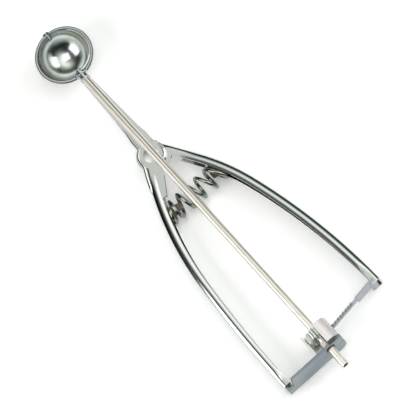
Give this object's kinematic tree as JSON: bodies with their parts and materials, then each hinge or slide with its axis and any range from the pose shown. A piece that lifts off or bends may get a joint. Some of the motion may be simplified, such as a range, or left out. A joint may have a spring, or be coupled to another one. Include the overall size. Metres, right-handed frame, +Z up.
{
  "type": "ice cream scoop",
  "caption": "Squeeze-handle ice cream scoop of polished steel: half-round bowl, sweeping blade turned by rack and pinion, two bowed handles and a coil spring between them.",
  "frame": {"origin": "centre of the bowl's mouth, on the shaft line", "axes": "+X along the shaft to the tail, +Y towards the moving handle, +Z up out of the bowl"},
  "size_m": [0.2324, 0.0699, 0.0223],
  "materials": {
    "bowl": "bright polish",
    "blade": "bright polish",
    "tube": "bright polish",
    "handles": "bright polish",
    "rivets": "polished",
    "spring": "drawn wire",
    "seats": "satin",
    "gear": "machined",
    "rack": "satin",
    "housing": "satin"
  },
  "bodies": {
    "frame_body": {"bowl": "bowl", "shaft_bush": "bowl", "tip_rivet": "rivets", "frame_handle": "handles", "pivot_rivet": "rivets", "pivot_washer": "gear", "fixed_spring_seat": "seats", "gear_cage": "housing", "cage_hood": "housing", "rear_arm": "housing", "tail_bush": "tube"},
    "lever_body": {"moving_handle": "handles", "moving_spring_seat": "seats", "spring": "spring"},
    "rack_body": {"rack": "rack"},
    "shaft_body": {"shaft_tube": "tube", "pinion": "gear", "pinion_pin": "gear", "thrust_collar": "gear", "scraper": "blade", "scraper_tang": "blade"}
  },
  "joints": [
    {"name": "lever_squeeze", "type": "hinge", "parent": "frame_body", "child": "lever_body", "pos_m": [0.0685, -0.0012, -0.005], "axis": [0, 0, -1], "range_deg": [0, 6.8], "stiffness_Nm_per_rad": 2, "springref_deg": -5.73, "deforming": ["spring"]},
    {"name": "rack_hook", "type": "hinge", "parent": "lever_body", "child": "rack_body", "pos_m": [0.19204, 0.03674, -0.0065], "axis": [0, 0, -1], "range_deg": [-2.74, 0]},
    {"name": "shaft_turn", "type": "hinge", "parent": "frame_body", "child": "shaft_body", "pos_m": [0, 0, 0], "axis": [-1, 0, 0], "range_deg": [0, 152.8]}
  ],
  "couplings": [
    {"joint": "shaft_turn", "follows": "lever_squeeze", "ratio": 22.46},
    {"joint": "rack_hook", "follows": "lever_squeeze", "ratio": -0.4002}
  ]
}
